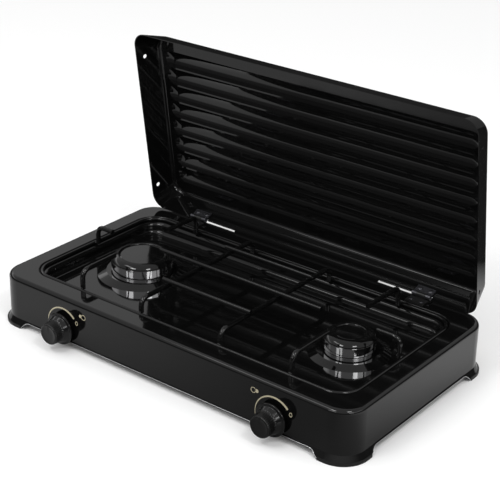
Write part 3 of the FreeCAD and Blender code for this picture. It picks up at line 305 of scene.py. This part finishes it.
# %% Recipes
class Recipe(Bench):
    """A Geometry Nodes tree under construction, with named inputs for its sizes."""

    def __init__(self, name):
        super().__init__(bpy.data.node_groups.new(name, "GeometryNodeTree"), "GeometryNode")
        self.tree.interface.new_socket("Result", in_out="OUTPUT", socket_type="NodeSocketGeometry")
        self.tree.is_modifier = True
        self.start = self.tree.nodes.new("NodeGroupInput")
        self.keys = {}
        self.seeds = self.ask("Seeds", "Geometry")
        self.material = self.ask("Finish", "Material")

    def ask(self, name, kind="Float"):
        socket = self.tree.interface.new_socket(name, in_out="INPUT", socket_type="NodeSocket" + kind)
        self.keys[name] = socket.identifier
        return Wire(self.tree, self.start.outputs[name])

    def deliver(self, geometry):
        """Ends the tree: real meshes, smooth faces and the finish."""
        real = self.node("RealizeInstances", Geometry=geometry)
        smooth = self.node("SetShadeSmooth", Geometry=real)
        made = self.node("SetMaterial", Geometry=smooth, Material=self.material)
        join(self.tree, made, self.tree.nodes.new("NodeGroupOutput").inputs[0])

    def aimed(self, shape):
        """One copy of a shape on each seed, its own up turned to the seed's aim."""
        aim = self.node("InputNamedAttribute", settings={"data_type": "FLOAT_VECTOR"}, Name="aim")
        turned = self.node("FunctionNodeAlignRotationToVector", settings={"axis": "Z"}, Vector=aim)
        return self.node("InstanceOnPoints", Points=self.seeds, Instance=shape, Rotation=turned)


def seeds_at(name, spots, aims=None, edges=()):
    """A mesh of loose points, each with the direction it aims at."""
    mesh = bpy.data.meshes.new(name)
    mesh.from_pydata([tuple(s) for s in spots], list(edges), [])
    heading = mesh.attributes.new("aim", "FLOAT_VECTOR", "POINT")
    for i, aim in enumerate(aims or [(0, 0, 1)] * len(spots)):
        heading.data[i].vector = aim
    return mesh


def grow(name, recipe, seeds, finish, body, slot, replaced=(), **sizes):
    """Runs a recipe on seeds, keeps the result as a plain mesh and makes it ride on its body."""
    holder = bpy.data.objects.new(name + "_seeds", seeds)
    bpy.context.scene.collection.objects.link(holder)
    modifier = holder.modifiers.new(name, "NODES")
    modifier.node_group = recipe.tree
    modifier[recipe.keys["Finish"]] = finish
    for key, value in sizes.items():
        modifier[recipe.keys[key.replace("_", " ")]] = value
    depsgraph = bpy.context.evaluated_depsgraph_get()
    mesh = bpy.data.meshes.new_from_object(holder.evaluated_get(depsgraph), depsgraph=depsgraph)
    bpy.data.objects.remove(holder)
    return settle(name, mesh, body, replaced)


def settle(name, mesh, body, replaced=()):
    """Puts a finished mesh in the scene as a piece that rides on a body."""
    mesh.name = name
    piece = bpy.data.objects.new(name, mesh)
    bpy.context.scene.collection.objects.link(piece)
    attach(piece, body)
    if replaced:
        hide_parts(*replaced)
    print("%s: %d faces" % (name, len(mesh.polygons)))
    return piece


# %% [markdown]
# Rivets and screws are the same thing to a modeller: a domed head on a plain shank. The head is
# a sphere with its lower half pressed flat, and a screw's head also has a cross pressed into it,
# cut by two masks that say how near a point is to each arm.

# %% Recipe for headed fasteners
ARM_HALF, ARM_REACH = 0.14, 0.6    # of the head's radius

fastener = Recipe("headed_fastener")
head_radius, head_height = fastener.ask("Head radius"), fastener.ask("Head height")
shank_radius, shank_length = fastener.ask("Shank radius"), fastener.ask("Shank length")
cross_depth = fastener.ask("Cross depth")

ball = fastener.node("MeshUVSphere", Segments=32, Rings=20, Radius=1.0)
spot = fastener.node("ShaderNodeSeparateXYZ", Vector=fastener.node("InputPosition"))
x, y, z = spot.pick("X"), spot.pick("Y"), spot.pick("Z")
arm_one = (x.maths("ABSOLUTE") < ARM_HALF) * (y.maths("ABSOLUTE") < ARM_REACH)
arm_two = (y.maths("ABSOLUTE") < ARM_HALF) * (x.maths("ABSOLUTE") < ARM_REACH)
cross = arm_one.maths("MAXIMUM", arm_two) * cross_depth
height = (z.maths("MAXIMUM", 0.0) * head_height - cross * (z > 0.3)).maths("MAXIMUM", 0.0)
head = fastener.node("SetPosition", Geometry=ball, Position=fastener.node(
    "ShaderNodeCombineXYZ", X=x * head_radius, Y=y * head_radius, Z=height))
rod = fastener.node("MeshCylinder", Vertices=24, Radius=shank_radius, Depth=shank_length)
sunk = fastener.node("Transform", Geometry=rod, Translation=fastener.node(
    "ShaderNodeCombineXYZ", Z=shank_length * -0.5))
both = fastener.node("JoinGeometry")
join(fastener.tree, head, both.socket.node.inputs[0])
join(fastener.tree, sunk, both.socket.node.inputs[0])
fastener.deliver(fastener.aimed(both))

# %% [markdown]
# The hinge leaves are riveted to the casing and to the lid's rear wall. Each rivet has a head on
# both sides of the sheet, and the lid's lean with its sloping wall.

# %% Rivets
MM = 0.001
HINGE = Vector((0, 129, 66)) * MM
HINGE_X, RIVET_STEP = 166 * MM, 7 * MM
LID_TURN = math.radians(81.5)
WALL_LEAN, WALL_RISE = 7.6, 34.7
LEAF_TURN = LID_TURN - math.atan(WALL_LEAN / WALL_RISE)
RIVET_SIZES = {"Head_radius": 2.8 * MM, "Head_height": 1.0 * MM, "Shank_radius": 1.5 * MM,
               "Cross_depth": 0.0}
LEAF_RIVET_RISE = 8.3
rivet_x = [side * HINGE_X + step * RIVET_STEP for side in (-1, 1) for step in (-1, 1)]


def opened(x, y, z, angle):
    """A point in millimetres from the hinge axis, swung open by an angle."""
    return Vector((x, y * math.cos(angle) + z * math.sin(angle),
                   z * math.cos(angle) - y * math.sin(angle))) * MM


spots, aims = [], []
for x in rivet_x:
    spots += [(x, 0.118, 0.0637), (x, 0.118, 0.061)]
    aims += [(0, 0, 1), (0, 0, -1)]
grow("casing_hinge_rivets", fastener, seeds_at("casing_rivet_spots", spots, aims), leaf_steel, "hob",
     "zinc_steel", ["casing_rivets"], Shank_length=1.4 * MM, **RIVET_SIZES)

outward = opened(0, 1, 0, LEAF_TURN).normalized()
spots, aims = [], []
for x in rivet_x:
    for y, way in ((1.5, 1), (-0.7, -1)):
        spots.append(HINGE + opened(0, y, LEAF_RIVET_RISE, LEAF_TURN) + Vector((x, 0, 0)))
        aims.append(outward * way)
grow("lid_hinge_rivets", fastener, seeds_at("lid_rivet_spots", spots, aims), leaf_steel, "lid",
     "zinc_steel", ["lid_rivets"], Shank_length=1.15 * MM, **RIVET_SIZES)

# %% [markdown]
# Two cross-headed screws hold each valve's cover, and two more hold each burner cup from below.

# %% Screws
KNOB_HEIGHT = 24.0
KNOB_Z = KNOB_HEIGHT * MM
COVER_SCREW_STEP = 12 * MM
BURNER_X = {"left": -146.5 * MM, "right": 155.5 * MM}
CUP_SCREW = {"left": 31.65 * MM, "right": 24.85 * MM}
SCREW_SIZES = {"Head_radius": 2.7 * MM, "Head_height": 1.6 * MM, "Shank_radius": 1.5 * MM,
               "Cross_depth": 0.8 * MM}
for side, x in BURNER_X.items():
    spots = [(x + step * COVER_SCREW_STEP, -0.1285, KNOB_Z) for step in (-1, 1)]
    grow(side + "_cover_cross_screws", fastener, seeds_at(side + "_cover_spots", spots, [(0, -1, 0)] * 2),
         zinc_steel, "hob", "zinc_steel", [side + "_cover_screws"], Shank_length=7.5 * MM, **SCREW_SIZES)
    spots = [(x + step * CUP_SCREW[side], 0, 0.0473) for step in (-1, 1)]
    grow(side + "_cup_cross_screws", fastener, seeds_at(side + "_cup_spots", spots, [(0, 0, -1)] * 2),
         zinc_steel, "hob", "zinc_steel", [side + "_cup_screws"], Shank_length=3.0 * MM, **SCREW_SIZES)

# %% [markdown]
# Under each knob a coil spring pushes the spindle out, so the knob has to be pressed before it
# turns. The coil is one long spiral given a round section.

# %% Return springs
coil = Recipe("coil_spring")
length, turns = coil.ask("Length"), coil.ask("Turns")
coil_radius, wire_radius = coil.ask("Coil radius"), coil.ask("Wire radius")
spiral = coil.node("CurveSpiral", Resolution=28, Rotations=turns, Start_Radius=coil_radius,
                   End_Radius=coil_radius, Height=length)
section = coil.node("CurvePrimitiveCircle", Resolution=10, Radius=wire_radius)
coil.deliver(coil.aimed(coil.node("CurveToMesh", Curve=spiral, Profile_Curve=section, Fill_Caps=True)))
for side, x in BURNER_X.items():
    coil_spot = seeds_at(side + "_coil_spot", [(x, -0.1228, KNOB_Z)], [(0, 1, 0)])
    spring = grow(side + "_coil_spring", coil, coil_spot, spring_steel, side + "_tap", "zinc_steel",
                  [side + "_return_spring"], Length=7.9 * MM, Turns=4.5, Coil_radius=5.2 * MM,
                  Wire_radius=0.85 * MM)
    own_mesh(spring)

# %% [markdown]
# Where two wires of the pan support cross or meet, the real one has a small flattened weld. Each
# is a lump whose surface is pushed about by noise, so that no two are alike.

# %% Welds
weld = Recipe("weld_nugget")
lump_radius, roughening = weld.ask("Radius"), weld.ask("Roughening")
lump = weld.node("MeshIcoSphere", Radius=1.0, Subdivisions=4)
lump_scale = weld.node("ShaderNodeCombineXYZ", X=lump_radius, Y=lump_radius, Z=lump_radius)
lumps = weld.node("RealizeInstances", Geometry=weld.node(
    "InstanceOnPoints", Points=weld.seeds, Instance=weld.node("Transform", Geometry=lump, Scale=lump_scale)))
swell = weld.node("ShaderNodeTexNoise", output="Fac", Vector=weld.node("InputPosition"), Scale=420.0) - 0.5
push = weld.node("ShaderNodeVectorMath", settings={"operation": "SCALE"},
                 Vector=weld.node("InputNormal"), Scale=swell * roughening)
weld.deliver(weld.node("SetPosition", Geometry=lumps, Offset=push))

BRIDGE_X, ROD_Y = 0.057, 0.0565
LEFT_FINGER_X, RIGHT_FINGER_X = -0.147, 0.152
RING_X, RING_Y, RING_Z, ROD_Z = 0.2216, 0.1036, 0.0600, 0.0796
spots = [(x, y, ROD_Z) for x in (-BRIDGE_X, BRIDGE_X) for y in (-ROD_Y, 0, ROD_Y)]
spots += [(x, y, RING_Z) for x in (-BRIDGE_X, BRIDGE_X, LEFT_FINGER_X, RIGHT_FINGER_X)
          for y in (-RING_Y, RING_Y)]
spots += [(x, 0, RING_Z) for x in (-RING_X, RING_X)]
grow("pan_support_welds", weld, seeds_at("weld_spots", spots), wire_enamel, "pan_support", "black_wire",
     Radius=2.6 * MM, Roughening=1.2 * MM)

# %% [markdown]
# The lower edge of the skirt is rolled under to a thin bead, which is what catches the light
# along the bottom of the front. It follows the edge from one shoe to the next, down over the
# step of each leg and out with its flare, so the path is worked out once from those sizes. The
# enamel doesn't cover the crest of the roll, which leaves a hair line of bare steel on it.

# %% Rolled hem
HEM, STEP, FLARE, FLARE_TOP, LIP_TOP, REACH = 8.0, 16.0, 3.5, 10.0, 3.5, 48.0
STEP_RADIUS = (STEP ** 2 + HEM ** 2) / (4 * HEM)
FOOT_STOP = 11.5


def step_height(run):
    """How high the edge is, in millimetres, at a distance past the start of the leg's step."""
    if run <= 0:
        return HEM
    if run < STEP / 2:
        return HEM - STEP_RADIUS + math.sqrt(STEP_RADIUS ** 2 - run ** 2)
    return STEP_RADIUS - math.sqrt(STEP_RADIUS ** 2 - (STEP - run) ** 2)


def flared(height):
    """How far the sheet has flared out from the skirt at a height."""
    return FLARE * min(1.0, max(0.0, (FLARE_TOP - height) / (FLARE_TOP - LIP_TOP)))


def hem_line(half_along, half_across, way, along_x, out=-0.45, up=0.0):
    straight = half_along - REACH
    runs = [FOOT_STOP * i / 16 for i in range(16, -1, -1)]
    line = [(-straight - run, run) for run in runs]
    line += [(straight * i / 6, 0) for i in range(-5, 6)]
    line += [(straight + run, run) for run in reversed(runs)]
    points = []
    for along, run in line:
        height = step_height(run)
        across = way * (half_across + flared(height) + out)
        points.append(Vector((along, across, height + up) if along_x else (across, along, height + up)) * MM)
    return points


def hem_seeds(name, **offsets):
    """The edge's four sides as one mesh of edges."""
    spots, links = [], []
    for half_along, half_across, along_x in ((250, 135, True), (135, 250, False)):
        for way in (-1, 1):
            line = hem_line(half_along, half_across, way, along_x, **offsets)
            links += [(len(spots) + i, len(spots) + i + 1) for i in range(len(line) - 1)]
            spots += line
    return seeds_at(name, spots, edges=links)


bead = Recipe("rolled_bead")
bead_radius = bead.ask("Radius")
edge_curve = bead.node("MeshToCurve", Mesh=bead.seeds)
ring = bead.node("CurvePrimitiveCircle", Resolution=12, Radius=bead_radius)
bead.deliver(bead.node("CurveToMesh", Curve=edge_curve, Profile_Curve=ring, Fill_Caps=True))

grow("rolled_hem", bead, hem_seeds("hem_line"), casing_enamel, "hob", "black_enamel", Radius=0.95 * MM)
grow("bare_hem_line", bead, hem_seeds("bare_line", out=0.25, up=0.6), bare_steel, "hob", "pressed_steel",
     Radius=0.42 * MM)

# %% [markdown]
# The lid's rear wall is cut back beside each hinge, and light shows through as a thin line. The
# cut edge is curled over like the hem, so the same recipe makes it, on the lid this time.

# %% Curled edges beside the hinges
SLIT_LINE = [(108, 1.2), (108.6, 1.9), (112, 2.0), (150, 2.0), (152.6, 2.0)]
SLIT_BACK = 1.0

spots, links = [], []
for way in (-1, 1):
    links += [(len(spots) + i, len(spots) + i + 1) for i in range(len(SLIT_LINE) - 1)]
    spots += [HINGE + opened(way * x, SLIT_BACK, z, LID_TURN) for x, z in SLIT_LINE]
grow("curled_slit_edges", bead, seeds_at("slit_line", spots, edges=links), lid_enamel, "lid", "lid_enamel",
     Radius=0.95 * MM)

# %% [markdown]
# The hose tail has barbs that grip the hose, and the nozzle behind it a fine thread. Both are
# the same ring repeated along a line, with a different pitch and depth.

# %% Barbs and thread
INLET_X, INLET_Z = 0.206, 0.0375

rings = Recipe("ring_row")
count, pitch = rings.ask("Count", "Int"), rings.ask("Pitch")
foot_radius, tip_radius = rings.ask("Foot radius"), rings.ask("Tip radius")
ring_length = rings.ask("Ring length")
row = rings.node("MeshLine", Count=count, Offset=rings.node("ShaderNodeCombineXYZ", Z=pitch))
cone = rings.node("MeshCone", Vertices=48, Radius_Top=foot_radius, Radius_Bottom=tip_radius,
                  Depth=ring_length)
rings.deliver(rings.aimed(rings.node("RealizeInstances", Geometry=rings.node(
    "InstanceOnPoints", Points=row, Instance=cone))))
barb_spot = seeds_at("barb_spot", [(INLET_X, 0.1455, INLET_Z)], [(0, 1, 0)])
grow("hose_barbs", rings, barb_spot, brass, "hob", "brass", Count=3, Pitch=3.9 * MM,
     Foot_radius=4.95 * MM, Tip_radius=5.5 * MM, Ring_length=2.6 * MM)
thread_spot = seeds_at("thread_spot", [(INLET_X, 0.1404, INLET_Z)], [(0, 1, 0)])
grow("nozzle_thread", rings, thread_spot, brass, "hob", "brass", Count=3, Pitch=0.9 * MM,
     Foot_radius=6.4 * MM, Tip_radius=6.75 * MM, Ring_length=0.6 * MM)

# %% [markdown]
# A knob is turned first and fluted after, here as on a lathe. The blank is its profile swept
# round the spindle: a disc, a sloping collar, the grip and a slightly dished end. The recipe then
# presses shallow flutes into the grip, as a cosine of the angle that fades out at both ends. A
# groove in the upper half of the end points to the dial, as the solid's does. The back is
# hollowed from a radius of 13 mm outward, so that a pressed knob clears the hem of the casing.

# %% Recipe for the fluted grip
FADE_AT_END, FADE_AT_START, FLUTED_FROM = 0.0012, 0.002, 0.0115

flutes = Recipe("fluted_grip")
flute_count, flute_depth = flutes.ask("Flutes"), flutes.ask("Depth")
grip_start, grip_end = flutes.ask("Grip start"), flutes.ask("Grip end")
centre_x = flutes.ask("Centre x")
spot = flutes.node("ShaderNodeSeparateXYZ", Vector=flutes.node("InputPosition"))
run_x, run_z, along = spot.pick("X") - centre_x, spot.pick("Z") - KNOB_Z, spot.pick("Y")
round_it = run_x.maths("ARCTAN2", run_z)
fade = (flutes.node("ShaderNodeMapRange", Value=along, From_Min=grip_end, From_Max=grip_end + FADE_AT_END)
        * flutes.node("ShaderNodeMapRange", Value=along, From_Min=grip_start,
                      From_Max=grip_start - FADE_AT_START))
outside = (run_x * run_x + run_z * run_z).maths("SQRT") > FLUTED_FROM
sink = ((round_it * flute_count).maths("COSINE") * 0.5 - 0.5) * flute_depth * fade * outside
towards = flutes.node("ShaderNodeVectorMath", settings={"operation": "NORMALIZE"}, slots={0: flutes.node(
    "ShaderNodeCombineXYZ", X=run_x, Z=run_z)})
pressed = flutes.node("ShaderNodeVectorMath", settings={"operation": "SCALE"}, Vector=towards, Scale=sink)
flutes.deliver(flutes.node("SetPosition", Geometry=flutes.seeds, Offset=pressed))

# %% Knobs
BACK_Y = -138.0
KNOB_PROFILE = [(0, 3.6), (0, 12.0), (-0.3, 12.6), (-0.8, 13.0), (-0.9, 17.8), (-1.1, 18.6),
                (-1.6, 19.0), (-3.2, 19.0), (-3.8, 18.6), (-4.0, 17.6), (-4.0, 16.4),
                (-4.6, 15.9), (-8.4, 14.3), (-9.2, 13.7), (-9.8, 13.4), (-12, 13.25),
                (-14, 13.1), (-16, 12.95), (-18, 12.85), (-19.6, 12.75), (-20.7, 12.3), (-21.2, 11.6), (-21.4, 10.7),
                (-21.2, 9.9), (-20.9, 9.3), (-20.8, 6.0), (-20.8, 2.0)]
BORE_END = -14.0
POINTER_HALF, POINTER_DEPTH, POINTER_FROM, FACE_RIM = 0.75, 0.6, 5.0, -20.0


def turned_blank(name, centre, profile, bore, segments=288):
    """A closed mesh swept round the spindle, with its bore for the spindle's end."""
    shape = bmesh.new()
    loops = []
    for along, radius in profile:
        loop = []
        for a in (2 * math.pi * i / segments for i in range(segments)):
            aside, up = radius * math.sin(a), radius * math.cos(a)
            in_groove = along < FACE_RIM and up > POINTER_FROM and abs(aside) < POINTER_HALF
            loop.append(shape.verts.new(((centre + aside) * MM,
                                         (BACK_Y + along + POINTER_DEPTH * in_groove) * MM,
                                         (KNOB_HEIGHT + up) * MM)))
        loops.append(loop)
    deep = [shape.verts.new((v.co.x, (BACK_Y + bore) * MM, v.co.z)) for v in loops[0]]
    for low, high in zip([deep] + loops[:-1], loops):
        for i in range(segments):
            j = (i + 1) % segments
            shape.faces.new((low[i], low[j], high[j], high[i]))
    shape.faces.new(loops[-1])
    shape.faces.new(reversed(deep))
    bmesh.ops.recalc_face_normals(shape, faces=shape.faces)
    mesh = bpy.data.meshes.new(name)
    shape.to_mesh(mesh)
    shape.free()
    return mesh


for side, x in BURNER_X.items():
    grow(side + "_fluted_knob", flutes, turned_blank(side + "_knob_blank", x / MM, KNOB_PROFILE, BORE_END),
         knob_plastic, side + "_control", "knob_plastic", [side + "_knob"], Flutes=36.0, Depth=0.7 * MM,
         Grip_start=-147.0 * MM, Grip_end=-159.0 * MM, Centre_x=x)

# %% [markdown]
# The dials are printed on the front in pale gold: an arc that swells from thin to thick, a small
# ring for the closed position, and a sign of a ring with a dot beside it, which says which
# burner the knob belongs to. Each mark is a thin slab, so it is a real form and not only a colour.

# %% Dial marks
FRONT_Y, INK = -135.0 * MM, 0.06 * MM
ZERO_REACH, ZERO_ANGLE = 24.6 * MM, math.radians(29)
SIGN_ASIDE, SIGN_Z = {"left": 32.6, "right": -26.8}, 47.0 * MM
DOT_ASIDE = {"left": -4.6 * MM, "right": 4.6 * MM}


def slab(target, loops):
    """Adds a flat ribbon between matching outer and inner points, with a small thickness."""
    outer, inner, closed = loops
    count = len(outer)
    back = [[target.verts.new((x, FRONT_Y + INK, z)) for x, z in line] for line in (outer, inner)]
    face = [[target.verts.new((x, FRONT_Y - INK, z)) for x, z in line] for line in (outer, inner)]
    for i in range(count if closed else count - 1):
        j = (i + 1) % count
        target.faces.new((face[0][i], face[0][j], face[1][j], face[1][i]))
        target.faces.new((back[0][j], back[0][i], back[1][i], back[1][j]))
        target.faces.new((face[0][j], face[0][i], back[0][i], back[0][j]))
        target.faces.new((face[1][i], face[1][j], back[1][j], back[1][i]))
    if not closed:
        for i in (0, count - 1):
            target.faces.new((face[0][i], face[1][i], back[1][i], back[0][i]))


def swept(centre_x, centre_z, radius, start, end, width_start, width_end, squash=1.0, steps=64,
          closed=False):
    """The two edges of a ring or arc whose width changes along it; angles in degrees."""
    outer, inner = [], []
    for i in range(steps):
        part = i / (steps if closed else steps - 1)
        angle = math.radians(start + (end - start) * part)
        half = (width_start + (width_end - width_start) * part) / 2
        for line, reach in ((outer, radius + half), (inner, radius - half)):
            line.append((centre_x + reach * squash * math.cos(angle), centre_z + reach * math.sin(angle)))
    return outer, inner, closed


marks = bmesh.new()
for side, x in BURNER_X.items():
    slab(marks, swept(x, KNOB_Z, 24.0 * MM, 192, 43, 0.5 * MM, 2.7 * MM))
    zero_x, zero_z = x + ZERO_REACH * math.cos(ZERO_ANGLE), KNOB_Z + ZERO_REACH * math.sin(ZERO_ANGLE)
    slab(marks, swept(zero_x, zero_z, 2.2 * MM, 0, 360, 0.9 * MM, 0.9 * MM, squash=0.75, steps=32, closed=True))
    sign_x = x + SIGN_ASIDE[side] * MM
    slab(marks, swept(sign_x, SIGN_Z, 3.0 * MM, 0, 360, 0.7 * MM, 0.7 * MM, steps=40, closed=True))
    slab(marks, swept(sign_x + DOT_ASIDE[side], SIGN_Z + 0.3 * MM, 1.1 * MM, 0, 360, 2.1 * MM, 2.1 * MM,
                      steps=24, closed=True))
bmesh.ops.recalc_face_normals(marks, faces=marks.faces)
mark_mesh = bpy.data.meshes.new("dial_marks")
marks.to_mesh(mark_mesh)
marks.free()
mark_mesh.materials.append(gold_ink)
settle("dial_marks", mark_mesh, "hob")

# %% [markdown]
# The floor is plain and white to the camera. What gloss sees of it is greyer, and it is painted
# with light and shade: a painted shadow in front of the right knob, a painted pool of light beside
# the right side, and painted shade behind the object from a hand's width away. It is also darker
# from a hand's width in front. Light Path tells the two apart, so the black enamel keeps its depth
# on a white picture.

# %% Floor
FLOOR_SIZE = 12
PAINTED_SHADOW_SPOT = (0.16, -0.24)

bpy.ops.mesh.primitive_plane_add(size=FLOOR_SIZE, location=(0, 0, 0))
floor = bpy.context.object
floor.name = "studio_floor"
floor_finish = Finish("studio floor", Roughness=0.9, Specular_IOR_Level=0.0)
seen = floor_finish.node("LightPath", output="Is Camera Ray")
spot = floor_finish.node("SeparateXYZ", Vector=floor_finish.place())
across, deep = spot.pick("X"), spot.pick("Y")
from_x, from_y = across - PAINTED_SHADOW_SPOT[0], deep - PAINTED_SHADOW_SPOT[1]
front_away = (from_x * from_x + from_y * from_y).maths("SQRT")
# painted shadow: what gloss sees of the floor is darker round a spot in front of the right knob
front_grey_and_painted_shadow = floor_finish.spread(front_away, 0.2, 0.62, 0.06, 0.38)
# painted light: what gloss sees of the floor is brighter beside the right side
right_painted_light = floor_finish.spread(across * 0.8 + deep * 0.6, 0.0, 0.25, 0.17, 0.27)
# painted shade: what gloss sees of the floor is darkened behind the object
painted_shade_behind = floor_finish.spread(deep, 1.0, 0.03, 0.28, 0.42)
ahead = floor_finish.spread(deep, 0.25, 1.0, -0.44, -0.27)
tone = (front_grey_and_painted_shadow + right_painted_light) * painted_shade_behind * ahead
shown = tone * (1 - seen) + seen
floor_finish.feed("Base Color", floor_finish.node("CombineColor", Red=shown, Green=shown, Blue=shown))
floor.data.materials.append(floor_finish.material)

# %% [markdown]
# The world is a white tent to the camera and to matt surfaces. Gloss sees it dim near the horizon
# and lighter overhead. Soft boxes stand left and right of the camera, each a low and a high one. The
# low pair draws the light and dark bars on the polished crowns, and the high pair and a strip
# between them draw the narrow bright lines on the wires and along the rounded edges.

# %% World and lamps
MATT_LIGHT = 0.84

world = bpy.data.worlds.new("studio_world")
world.use_nodes = True
bpy.context.scene.world = world
sky = Bench(world.node_tree, "ShaderNode")
path = sky.node("LightPath", output="Is Camera Ray")
mirrored = path.pick("Is Glossy Ray")
towards = sky.node("SeparateXYZ", Vector=sky.node("TexCoord", output="Generated"))
aside, rise = towards.pick("X"), towards.pick("Z")
tent = sky.node("MapRange", settings={"interpolation_type": "SMOOTHSTEP"}, Value=rise, From_Min=0.2,
                From_Max=0.45, To_Min=0.09, To_Max=0.62)
low_band = sky.node("MapRange", Value=rise, From_Min=0.40, From_Max=0.42) * sky.node(
    "MapRange", Value=rise, From_Min=0.53, From_Max=0.50)
right_wall = sky.node("MapRange", Value=aside, From_Min=0.74, From_Max=0.84, To_Max=2.0)
left_wall = sky.node("MapRange", Value=aside, From_Min=-0.7, From_Max=-0.85, To_Max=1.2)
tent = tent + low_band * (right_wall + left_wall)
strength = path + (1 - path) * (mirrored * tent + (1 - mirrored) * MATT_LIGHT)
backdrop = world.node_tree.nodes["Background"]
backdrop.inputs["Color"].default_value = grey(1.0)
join(sky.tree, strength, backdrop.inputs["Strength"])


def soft_box(name, azimuth, elevation, distance, width, height, power):
    """A soft box aimed at the cooktop, placed by its azimuth round it and its elevation above it."""
    light = bpy.data.lights.new(name, "AREA")
    light.shape = "RECTANGLE"
    light.size, light.size_y = width, height
    light.energy = power
    holder = bpy.data.objects.new(name, light)
    bpy.context.scene.collection.objects.link(holder)
    around, above = math.radians(azimuth), math.radians(elevation)
    way = Vector((math.sin(around) * math.cos(above), -math.cos(around) * math.cos(above), math.sin(above)))
    holder.location = way * distance + Vector((0, 0, 0.1))
    holder.rotation_euler = way.to_track_quat("Z", "Y").to_euler()
    holder.visible_camera = False


# name, azimuth and elevation in degrees, distance, width and height in metres, power in watts
LAMPS = [("left_soft_box", -8, 27.3, 4.0, 1.68, 0.44, 11),
         ("right_soft_box", 67, 27.3, 4.0, 1.16, 0.44, 11),
         ("left_soft_box_high", -8, 52, 1.9, 0.5, 0.3, 5.5),
         ("right_soft_box_high", 67, 52, 1.9, 0.4, 0.3, 5.5),
         ("front_strip", -36, 56, 1.9, 1.2, 0.25, 4)]
for lamp in LAMPS:
    soft_box(*lamp)
bpy.context.scene.view_settings.view_transform = "Standard"
